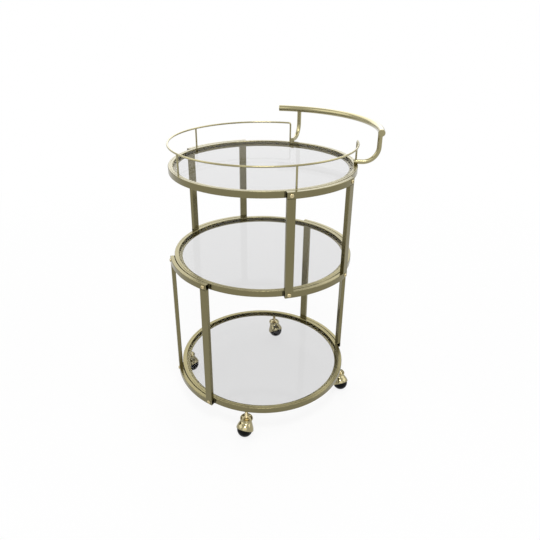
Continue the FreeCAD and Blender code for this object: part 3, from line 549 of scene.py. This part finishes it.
def cavity_point(angle, height):
    """A point of the hollow inside the dome."""
    reach = dome_reach(height, CAVITY_RADIUS)
    return Vector((TRAIL + reach * math.cos(angle), reach * math.sin(angle), height))


# %% Hoods
COLLAR = soften([(NECK_RADIUS, NECK_TOP), (13.4, 44.0), (16.2, 44.9), (16.2, 47.0),
                 (15.2, 48.5), (14.0, 48.5), (13.6, 46.9), (10.8, 44.0), (4.07, 44.0),
                 (4.07, 41.5)], 1.1)


def cast_hood():
    """One closed mesh: up the inside, over the lip, up the outside and down into the cup."""
    edit = bmesh.new()
    columns = [2 * math.pi * step / COLUMNS for step in range(COLUMNS)]
    inner_foot = [mouth_height(cavity_point, angle) for angle in columns]
    outer_foot = [mouth_height(hood_point, angle) for angle in columns]
    tip = WHEEL_CENTRE + CAVITY_RADIUS
    rings = [[edit.verts.new((TRAIL, 0, tip))]]
    for row in range(ROWS, -1, -1):
        share = math.sin(row / (ROWS + 1) * math.pi / 2)
        rings.append([edit.verts.new(cavity_point(angle, foot + (tip - foot) * share))
                      for angle, foot in zip(columns, inner_foot)])
    lip = []
    for angle, inner, outer in zip(columns, inner_foot, outer_foot):
        middle = (cavity_point(angle, inner) + hood_point(angle, outer)) / 2
        lip.append(edit.verts.new(middle - Vector((0, 0, LIP_DROP))))
    rings.append(lip)
    for row in range(ROWS + 1):
        share = row / ROWS
        rings.append([edit.verts.new(hood_point(angle, foot + (NECK_TOP - foot) * share))
                      for angle, foot in zip(columns, outer_foot)])
    for radius, height in COLLAR[1:]:
        rings.append([edit.verts.new((radius * math.cos(angle), radius * math.sin(angle),
                                      height)) for angle in columns])
    skin(edit, rings)
    return edit


for caster in CASTERS:
    make_piece("hood_" + caster, cast_hood(), polished_brass, "caster_" + caster,
               stands_for=["caster_hood_" + caster], place=caster_frame(caster), sharp=60)

# %% [markdown]
# ## Ball wheels and axles
# The wheel is a hard ball with its sides cut flat. Moulded balls have a fine parting line
# round the middle and a stepped hub on each side. The axle's ends are peened over, which
# leaves two low domes in the hood's cheeks.

# %% Wheels and axles
WHEEL_RADIUS = WHEEL_CENTRE  # it stands on the floor
WHEEL_SIDE = 17.5
PARTING_HALF = 0.35
PARTING_DEPTH = 0.16
BORE_RADIUS = 2.07
AXLE_END = 21.9


def ball_side():
    """Half of a wheel's profile, from its parting line to the bore, as (radius, height)."""
    ball = []
    for step in range(15):
        height = PARTING_HALF + (WHEEL_SIDE - PARTING_HALF) * step / 14
        ball.append((math.sqrt(WHEEL_RADIUS ** 2 - height ** 2), height))
    hub = [(7.6, WHEEL_SIDE), (7.2, WHEEL_SIDE - 0.9), (5.6, WHEEL_SIDE - 0.9),
           (5.2, WHEEL_SIDE), (3.4, WHEEL_SIDE), (BORE_RADIUS, WHEEL_SIDE - 0.5)]
    return [(WHEEL_RADIUS - PARTING_DEPTH, 0.0)] + ball + hub


for caster in CASTERS:
    side = ball_side()
    ball = bmesh.new()
    turn(ball, [(radius, -height) for radius, height in reversed(side)] + side[1:]
         + [(BORE_RADIUS, -WHEEL_SIDE + 0.5)], around=96)
    bmesh.ops.remove_doubles(ball, verts=ball.verts, dist=1e-5)
    along_axle = (caster_frame(caster)
                  @ Matrix.Translation((TRAIL * MM, 0, WHEEL_CENTRE * MM))
                  @ Matrix.Rotation(math.pi / 2, 4, "X"))
    make_piece("ball_wheel_" + caster, ball, gloss_black, "wheel_" + caster,
               stands_for=["caster_wheel_" + caster], place=along_axle)
    pin = bmesh.new()
    end = [(2.0, AXLE_END - 0.9), (1.75, AXLE_END - 0.35), (1.0, AXLE_END - 0.05),
           (0, AXLE_END)]
    turn(pin, [(radius, -height) for radius, height in reversed(end)] + end, around=32)
    make_piece("axle_pin_" + caster, pin, bright_brass, "caster_" + caster,
               stands_for=["caster_axle_" + caster], place=along_axle, sharp=60)

# %% [markdown]
# ## Welds
# The gallery and the handle are welded. Each weld is a small concave fillet that spreads
# from the rod to what it stands on; without them the rods look pushed into place. Where a
# rod meets a round bar, the fillet's upper edge follows the bar's underside.

# %% Fillets under posts and round the arms' tops
WIRE_RADIUS = 2.2
# These angles are in degrees from the handle's side of the trolley.
POST_ANGLES = (107, 180, -107)
RAIL_END_ANGLES = (35.3, -34.9)
ARM_ANGLES = (33.1, -40.2)
ARM_RADIUS = 5.5
BAR_RADIUS = 8.0
BAR_REACH = 0.270  # metres from the axis

ring_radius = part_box("top_ring")[1].x - axis.x
rail_reach = ring_radius - WIRE_RADIUS * MM
rail_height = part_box("gallery_rail")[1].z - WIRE_RADIUS * MM
bar_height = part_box("handle_bar")[1].z - BAR_RADIUS * MM
top_level = ring_top["top"]


def fillet(foot_reach, rise, rod_radius):
    """A concave collar from a flat surface at z = 0 up onto an upright rod."""
    edit = bmesh.new()
    profile = []
    for step in range(7):
        angle = math.pi / 2 * step / 6
        profile.append((rod_radius + foot_reach * (1 - math.sin(angle)),
                        rise * (1 - math.cos(angle))))
    turn(edit, profile, around=28)
    return edit


def saddle(rod_radius, bar_radius, reach, drop):
    """A concave collar from an upright rod up onto a bar that crosses it along Y."""
    edit = bmesh.new()
    rings = []
    for step in range(6):
        share = step / 5
        radius = rod_radius + CLEAR + reach * share ** 2
        ring = []
        for turn_step in range(36):
            angle = 2 * math.pi * turn_step / 36
            across = radius * math.cos(angle)
            under = -math.sqrt(max(0.0, bar_radius ** 2 - across ** 2))
            ring.append(edit.verts.new((across, radius * math.sin(angle),
                                        under - drop * (1 - share) ** 2)))
        rings.append(ring)
    skin(edit, rings)
    return edit


gallery_welds = bmesh.new()
add_copies(gallery_welds, fillet(foot_reach=1.1, rise=1.6, rod_radius=WIRE_RADIUS),
           [in_millimetres(out_from_axis(angle, rail_reach, top_level))
            for angle in POST_ANGLES + RAIL_END_ANGLES])
add_copies(gallery_welds, saddle(WIRE_RADIUS, WIRE_RADIUS + 0.35, reach=0.12, drop=1.3),
           [in_millimetres(out_from_axis(angle, rail_reach, rail_height))
            for angle in POST_ANGLES])
make_piece("gallery_welds", gallery_welds, painted_sheen_gold, "trolley", sharp=70)

handle_welds = bmesh.new()
add_copies(handle_welds, saddle(ARM_RADIUS, BAR_RADIUS, reach=1.3, drop=1.8),
           [in_millimetres(out_from_axis(angle, BAR_REACH, bar_height))
            for angle in ARM_ANGLES])
make_piece("handle_welds", handle_welds, painted_sheen_gold, "trolley", sharp=70)
print("welds made at", len(POST_ANGLES), "posts,", len(RAIL_END_ANGLES), "rail ends and",
      len(ARM_ANGLES), "arms")

# %% [markdown]
# The arms lie on the ring, so each has a weld along both sides of its foot. A strip with a
# hollow section, tapered at its ends like a laid bead, is enough.

# %% Welds along the arms' feet
FOOT_START = 214.4
FOOT_END = 222.0
WELD_OUT = 1.5


def foot_weld(side):
    """A tapered strip along one side of an arm's foot, from the ring up onto the arm."""
    edit = bmesh.new()
    rows = []
    for step in range(9):
        share = step / 8
        swell = math.sin(math.pi * (0.08 + 0.84 * share)) ** 0.5
        along = FOOT_START + (FOOT_END - FOOT_START) * share
        row = []
        for turn_step in range(6):
            climb = turn_step / 5
            angle = math.radians(10 + 34 * climb * swell)
            on_rod = Vector((0, side * ARM_RADIUS * math.sin(angle),
                             ARM_RADIUS * (1 - math.cos(angle))))
            out = WELD_OUT * swell * (1 - climb) ** 2
            row.append(edit.verts.new((along, on_rod.y + side * out,
                                       on_rod.z * climb ** 0.7)))
        rows.append(row)
    skin(edit, rows, closed=False)
    return edit


foot_welds = bmesh.new()
for side in (-1, 1):
    add_copies(foot_welds, foot_weld(side),
               [in_millimetres(out_from_axis(angle, 0, top_level)) for angle in ARM_ANGLES])
make_piece("handle_foot_welds", foot_welds, painted_sheen_gold, "trolley", sharp=70)

# %% [markdown]
# ## The handle's ends
# A push-in cap closes each end of the bar. Its rim is rounded where a hand slides over it,
# which a flat disc would not show.

# %% End caps
BAR_HALF_ANGLE = 46.1
BAR_TURN = -1.1
CAP_THICK = 1.6
caps = bmesh.new()
cap = bmesh.new()
turn(cap, soften([(0, -8.5), (6.6, -8.5), (6.7, -CLEAR), (BAR_RADIUS, -CLEAR),
                  (BAR_RADIUS, CAP_THICK), (0, CAP_THICK)], 0.9), around=48)
cap_places = []
for side in (-1, 1):
    spot = out_from_axis(BAR_TURN + side * BAR_HALF_ANGLE, BAR_REACH, bar_height)
    cap_places.append(in_millimetres(spot @ Matrix.Rotation(-side * math.pi / 2, 4, "X")))
add_copies(caps, cap, cap_places)
make_piece("handle_caps", caps, painted_sheen_gold, "trolley", stands_for=["handle_end_caps"])

# %% Handle screws
BAND_HALF_WIDTH = 5.5
handle_screws = bmesh.new()
under_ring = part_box("top_ring")[0].z
screw_reach = ring_radius - BAND_HALF_WIDTH * MM
add_copies(handle_screws, button_screw(HANDLE_SHANK),
           [in_millimetres(out_from_axis(angle, screw_reach, under_ring)
                           @ Matrix.Rotation(math.pi, 4, "X")) for angle in ARM_ANGLES])
make_piece("handle_button_screws", handle_screws, bright_brass, "trolley",
           stands_for=["handle_screws"])

# %% [markdown]
# ## The studio
# The trolley stands on a plain pale floor in a white room. What the camera, metal and glass
# see of the floor and the room is white, while the light that falls on the trolley is lower,
# so the gold keeps its colour. The floor is part paint and part glow where it is seen: the
# paint is what shows the shadow, and the glow lifts it to white.

# %% What is seen directly
def seen_directly(tree_nodes, links):
    """1 for rays from the camera, from a reflection or through glass; 0 for other rays."""
    rays = tree_nodes.new("ShaderNodeLightPath")
    result = rays.outputs["Is Camera Ray"]
    for kind in ("Is Glossy Ray", "Is Transmission Ray"):
        either = tree_nodes.new("ShaderNodeMath")
        either.operation = "MAXIMUM"
        links.new(result, either.inputs[0])
        links.new(rays.outputs[kind], either.inputs[1])
        result = either.outputs["Value"]
    return result


# %% White room
ROOM_LIGHT = 0.15

world = bpy.data.worlds.new("white_room")
scene.world = world
world.use_nodes = True
room_nodes, room_links = world.node_tree.nodes, world.node_tree.links
lighting = room_nodes["Background"]
lighting.inputs["Color"].default_value = (1, 1, 1, 1)
lighting.inputs["Strength"].default_value = ROOM_LIGHT
backdrop = room_nodes.new("ShaderNodeBackground")
backdrop.inputs["Color"].default_value = (1, 1, 1, 1)
room = room_nodes.new("ShaderNodeMixShader")
room_links.new(seen_directly(room_nodes, room_links), room.inputs["Fac"])
room_links.new(lighting.outputs["Background"], room.inputs[1])
room_links.new(backdrop.outputs["Background"], room.inputs[2])
room_links.new(room.outputs["Shader"], room_nodes["World Output"].inputs["Surface"])
print("room light", ROOM_LIGHT)

# %% Pale floor
FLOOR_HALF_SIDE = 12
FLOOR_PAINT = 0.16
FLOOR_GLOW = 0.86
FADE_START, FADE_END = 0.6, 2.2  # metres from the middle, from paint to glow alone

floor_mesh = bpy.data.meshes.new("floor")
floor_edit = bmesh.new()
bmesh.ops.create_grid(floor_edit, x_segments=1, y_segments=1, size=FLOOR_HALF_SIDE)
floor_edit.to_mesh(floor_mesh)
floor_edit.free()
floor = bpy.data.objects.new("floor", floor_mesh)
scene.collection.objects.link(floor)
floor_finish, floor_nodes, floor_links = new_finish("pale_floor")
paint = floor_nodes.new("ShaderNodeBsdfDiffuse")
paint.inputs["Color"].default_value = (FLOOR_PAINT, FLOOR_PAINT, FLOOR_PAINT, 1)
glow = floor_nodes.new("ShaderNodeEmission")
glow.inputs["Strength"].default_value = FLOOR_GLOW
lit = floor_nodes.new("ShaderNodeAddShader")
floor_links.new(paint.outputs["BSDF"], lit.inputs[0])
floor_links.new(glow.outputs["Emission"], lit.inputs[1])
far_glow = floor_nodes.new("ShaderNodeEmission")
from_middle = floor_nodes.new("ShaderNodeVectorMath")
from_middle.operation = "LENGTH"
floor_links.new(floor_nodes.new("ShaderNodeTexCoord").outputs["Object"],
                from_middle.inputs[0])
how_far = floor_nodes.new("ShaderNodeMapRange")
how_far.interpolation_type = "SMOOTHSTEP"
how_far.inputs["From Min"].default_value = FADE_START
how_far.inputs["From Max"].default_value = FADE_END
floor_links.new(from_middle.outputs["Value"], how_far.inputs["Value"])
lifted = floor_nodes.new("ShaderNodeMixShader")
floor_links.new(how_far.outputs["Result"], lifted.inputs["Fac"])
floor_links.new(lit.outputs["Shader"], lifted.inputs[1])
floor_links.new(far_glow.outputs["Emission"], lifted.inputs[2])
plain = floor_nodes["Principled BSDF"]
plain.inputs["Base Color"].default_value = (0.8, 0.8, 0.8, 1)
plain.inputs["Roughness"].default_value = 0.9
either_way = floor_nodes.new("ShaderNodeMixShader")
floor_links.new(seen_directly(floor_nodes, floor_links), either_way.inputs["Fac"])
floor_links.new(plain.outputs["BSDF"], either_way.inputs[1])
floor_links.new(lifted.outputs["Shader"], either_way.inputs[2])
floor_output = floor_nodes["Material Output"]
floor_links.new(either_way.outputs["Shader"], floor_output.inputs["Surface"])
floor_mesh.materials.append(floor_finish)
print("floor paint", FLOOR_PAINT, "and glow", FLOOR_GLOW)

# %% [markdown]
# Shiny metal shows its surroundings more than its own colour. Large soft boxes stand all
# round, above the trolley, where the flat tops of the rings mirror them. A smaller one
# hangs high at the camera's side and draws the bright lines on the round rods.

# %% Soft boxes
def soft_box(name, bearing, distance, height, aim, width, tall, brightness):
    """A rectangular lamp that faces the trolley, as bright as a white card times a number."""
    lamp = bpy.data.lights.new(name, "AREA")
    lamp.shape = "RECTANGLE"
    lamp.size = width
    lamp.size_y = tall
    lamp.energy = brightness * math.pi * width * tall
    holder = bpy.data.objects.new(name, lamp)
    angle = math.radians(bearing)
    place = Vector((distance * math.cos(angle), distance * math.sin(angle), height))
    holder.location = place
    holder.rotation_mode = "QUATERNION"
    holder.rotation_quaternion = (Vector((0, 0, aim)) - place).to_track_quat("-Z", "Y")
    holder.visible_camera = False
    scene.collection.objects.link(holder)


# bearing in degrees, distance, height, height aimed at, width, tall, brightness
soft_box("behind", 55.6, 2.6, 2.2, 0.45, 3.2, 2.6, 1.6)
soft_box("camera_side", -124.4, 2.6, 2.2, 0.45, 3.2, 2.2, 0.9)
soft_box("left_side", 145.6, 2.6, 2.2, 0.45, 2.6, 2.2, 1.3)
soft_box("right_side", -34.4, 2.6, 2.2, 0.45, 2.6, 2.2, 1.3)
soft_box("high", -124.4, 1.25, 2.7, 0.5, 0.7, 0.7, 14.0)
print("five soft boxes")

# %% [markdown]
# ## The camera
# The photograph was taken from a little above the trolley. The place, pitch and field of
# view were found by fitting the three rings' ellipses, and the small shift is the
# photograph's framing.

# %% Camera
PHOTO_SIDE = 540
FOCAL_PIXELS = 500.1
CENTRE_ACROSS = 259.45
CENTRE_DOWN = 242.97
CAMERA_PITCH = math.radians(24.63)
CAMERA_TURN = math.radians(-34.4)
# metres from the tiers' axis, and above the bottom ring's top
CAMERA_ASIDE, CAMERA_AWAY, CAMERA_ABOVE = -0.00789, -1.1685, 0.87944

camera_data = bpy.data.cameras.new("photo_camera")
camera_data.sensor_width = 36
camera_data.lens = FOCAL_PIXELS / PHOTO_SIDE * camera_data.sensor_width
camera_data.shift_x = 0.5 - CENTRE_ACROSS / PHOTO_SIDE
camera_data.shift_y = CENTRE_DOWN / PHOTO_SIDE - 0.5
camera = bpy.data.objects.new("photo_camera", camera_data)
to_the_side = Matrix.Rotation(CAMERA_TURN, 4, "Z")
camera.location = (axis + to_the_side @ Vector((CAMERA_ASIDE, CAMERA_AWAY, 0))
                   + Vector((0, 0, ring_top["bottom"] + CAMERA_ABOVE)))
camera.rotation_euler = (math.pi / 2 - CAMERA_PITCH, 0, CAMERA_TURN)
scene.collection.objects.link(camera)
scene.camera = camera
print("camera at", tuple(round(c, 3) for c in camera.location))

# %% Picture settings and the end
scene.view_settings.view_transform = "Standard"
